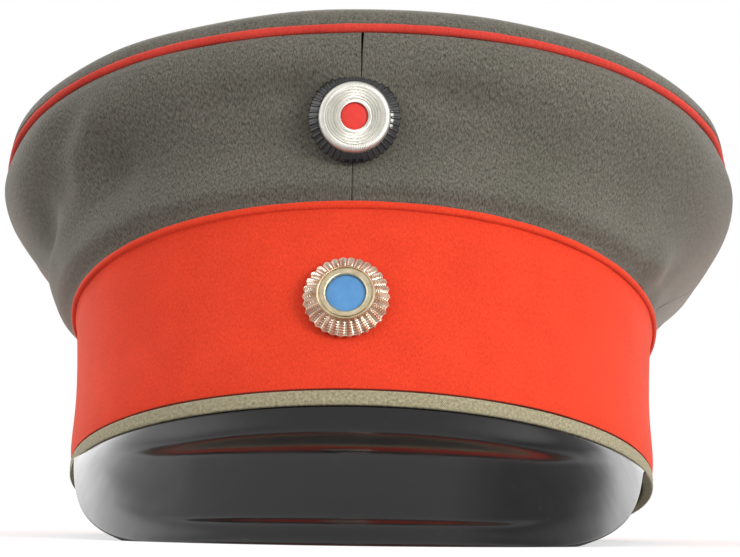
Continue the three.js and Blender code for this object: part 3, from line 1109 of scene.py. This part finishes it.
def make_upper_cockade():
    """Black, silver and red, on the crown."""
    seat = disc_place("upper_cockade_dish")
    black = enamel(
        "black_enamel",
        dark=(0.010, 0.010, 0.011),
        light=(0.022, 0.021, 0.021),
        roughness=0.14,
        coat=0.4,
    )
    silver = metal(
        "bright_silver",
        dark=(0.75, 0.73, 0.67),
        light=(0.87, 0.85, 0.78),
        roughness=0.44,
        rays=116,
        seat=seat,
    )
    red = enamel(
        "red_enamel",
        dark=(0.72, 0.030, 0.022),
        light=(0.82, 0.045, 0.030),
        roughness=0.5,
        coat=0.0,
    )
    finish_piece(black_ribbed_ring(seat), black, "black_enamel", "upper_cockade_rim")
    finish_piece(silver_dish(seat), silver, "silver_metal", "upper_cockade_dish")
    finish_piece(red_button(seat), red, "red_enamel", "upper_cockade_centre")


def make_lower_cockade():
    """Silver, cream and blue, on the band."""
    seat = disc_place("lower_cockade_centre")
    tarnished = metal(
        "tarnished_silver",
        dark=(0.60, 0.43, 0.33),
        light=(0.94, 0.80, 0.67),
        roughness=0.3,
    )
    cream = metal(
        "pale_silver",
        dark=(0.60, 0.47, 0.30),
        light=(0.84, 0.74, 0.52),
        roughness=0.3,
        rays=90,
        seat=seat,
        depth=0.05,
    )
    blue = enamel(
        "blue_enamel",
        dark=(0.062, 0.24, 0.53),
        light=(0.088, 0.295, 0.60),
        roughness=0.25,
        coat=0.6,
    )
    finish_piece(petal_rim(seat), tarnished, "tarnished_silver", "lower_cockade_rim")
    finish_piece(cream_ring(seat), cream, "silver_metal", "lower_cockade_ring")
    finish_piece(blue_button(seat), blue, "blue_enamel", "lower_cockade_centre")


# ------------------------------------------------------------------ studio


def make_floor():
    """Pale paper that glows a little for the camera, so that it meets the white surroundings."""
    deselect()
    bpy.ops.mesh.primitive_plane_add(size=8, location=(0, 0, 0))
    floor = named(bpy.context.active_object, "studio_floor")
    material, tree, shader = new_material(
        "studio_floor",
        Roughness=0.9,
        Specular_IOR_Level=0.0,
        Emission_Strength=0.57,
    )
    place = add(tree, "ShaderNodeTexCoord")
    paper = add(tree, "ShaderNodeTexNoise", {"Scale": 3.0, "Detail": 2.0})
    tree.links.new(place.outputs["Object"], paper.inputs["Vector"])
    tone = colour_between(tree, paper.outputs["Fac"], (0.48, 0.48, 0.48), (0.51, 0.51, 0.51))
    tree.links.new(tone, shader.inputs["Base Color"])
    path = add(tree, "ShaderNodeLightPath")
    glow = colour_between(tree, path.outputs["Is Camera Ray"], (0, 0, 0), (1, 1, 1))
    tree.links.new(glow, shader.inputs["Emission Color"])
    give(floor, material)


# what the surroundings' parts add to plain white at 1, and what the dark stretch leaves of it
BACKDROP_GLOW = 1.2
RIGHT_WALL_GLOW = 1.75
LEFT_WALL_GLOW = 1.1
FRONT_DIMMING = -0.2
DARK_STRETCH_GLOW = 0.42

# direction of the dark stretch, high on the wearer's left
DARK_STRETCH = (0.76, 0.28, 0.59)


def surrounding_glow(tree, direction):
    """Brightness by direction: brighter low behind and at both sides, dimmer low in front."""
    parts = add(tree, "ShaderNodeSeparateXYZ")
    tree.links.new(direction, parts.inputs["Vector"])
    left, back, up = (parts.outputs[axis] for axis in "XYZ")
    behind = spread(tree, back, 0.15, 0.6)
    backdrop_top = spread(tree, up, 0.42, 0.62, 1.0, 0.0)
    backdrop = times(tree, times(tree, behind, backdrop_top), BACKDROP_GLOW)
    right_wall = spread(tree, left, -0.75, -0.3, RIGHT_WALL_GLOW, 0.0)
    left_wall = spread(tree, left, 0.4, 0.8, 0.0, LEFT_WALL_GLOW)
    wall_foot = spread(tree, up, 0.04, 0.2, 0.2, 1.0)
    wall_top = spread(tree, up, 0.42, 0.74, 1.0, 0.0)
    walls = times(tree, plus(tree, right_wall, left_wall), times(tree, wall_top, wall_foot))
    front = spread(tree, back, -0.5, -0.1, FRONT_DIMMING, 0.0)
    front_top = spread(tree, up, 0.35, 0.6, 1.0, 0.0)
    dim_front = times(tree, front, front_top)
    away = add(tree, "ShaderNodeVectorMath", {1: DARK_STRETCH}, operation="DISTANCE")
    tree.links.new(direction, away.inputs[0])
    dark = spread(tree, away.outputs["Value"], 0.25, 0.5, DARK_STRETCH_GLOW, 1.0)
    glow = plus(tree, plus(tree, backdrop, walls), plus(tree, dim_front, 1.0))
    return times(tree, glow, dark)


def make_world():
    """Uneven white surroundings, which the camera itself sees as plain white."""
    world = bpy.data.worlds.new("studio")
    bpy.context.scene.world = world
    world.use_nodes = True
    tree = world.node_tree
    tree.nodes.clear()
    place = add(tree, "ShaderNodeTexCoord")
    glow = surrounding_glow(tree, place.outputs["Generated"])
    light = add(tree, "ShaderNodeBackground")
    tree.links.new(glow, light.inputs["Strength"])
    seen = add(tree, "ShaderNodeBackground", {"Strength": 1.0, "Color": (1, 1, 1, 1)})
    path = add(tree, "ShaderNodeLightPath")
    mix = add(tree, "ShaderNodeMixShader")
    out = add(tree, "ShaderNodeOutputWorld")
    tree.links.new(path.outputs["Is Camera Ray"], mix.inputs["Fac"])
    tree.links.new(light.outputs["Background"], mix.inputs[1])
    tree.links.new(seen.outputs["Background"], mix.inputs[2])
    tree.links.new(mix.outputs["Shader"], out.inputs["Surface"])


# the key light, a square soft box: turn from the nose, degrees up, distance and size in metres
KEY_TURN = math.radians(48)
KEY_CLIMB = math.radians(8)
KEY_DISTANCE = 1.3
KEY_SIZE = 0.42
KEY_GLOW = 17.0


def make_key_light():
    """A soft box at the wearer's left, aimed at the cap's middle."""
    away = Matrix.Rotation(KEY_TURN, 3, "Z") @ Vector((0, -math.cos(KEY_CLIMB), 0))
    away.z = math.sin(KEY_CLIMB)
    lamp = bpy.data.lights.new("key_front_left", "AREA")
    lamp.shape = "SQUARE"
    lamp.size = KEY_SIZE
    lamp.energy = KEY_GLOW * math.pi * KEY_SIZE * KEY_SIZE
    lamp.color = (1.0, 0.99, 0.97)
    box = bpy.data.objects.new("key_front_left", lamp)
    box.location = CAP_MIDDLE + away * KEY_DISTANCE
    box.rotation_euler = (-away).to_track_quat("-Z", "Y").to_euler()
    bpy.context.scene.collection.objects.link(box)


# the camera stands low before the nose and looks a little up
CAMERA_PLACE = (0.0139, -0.4558, 0.0057)
CAMERA_LENS = 73.74
CAMERA_TURN = math.radians(1.65)
CAMERA_LOOK_UP = math.radians(9.0)
CAMERA_ROLL = math.radians(0.76)


def make_camera():
    lens = bpy.data.cameras.new("camera")
    lens.lens = CAMERA_LENS
    lens.sensor_width = 36
    lens.clip_start = 0.01
    lens.dof.use_dof = False
    camera = bpy.data.objects.new("camera", lens)
    turn = Matrix.Rotation(CAMERA_TURN, 4, "Z")
    pitch = Matrix.Rotation(math.radians(90) + CAMERA_LOOK_UP, 4, "X")
    roll = Matrix.Rotation(CAMERA_ROLL, 4, "Z")
    camera.matrix_world = Matrix.Translation(CAMERA_PLACE) @ turn @ pitch @ roll
    bpy.context.scene.collection.objects.link(camera)
    bpy.context.scene.camera = camera


scene = bpy.context.scene
scene.view_settings.view_transform = "Standard"
scene.view_settings.look = "None"

make_camera()
make_world()
make_key_light()
make_floor()
make_crown_sides()
make_crown_top()
make_band()
make_edge_cord()
make_trim()
make_visor()
make_upper_cockade()
make_lower_cockade()
deselect()
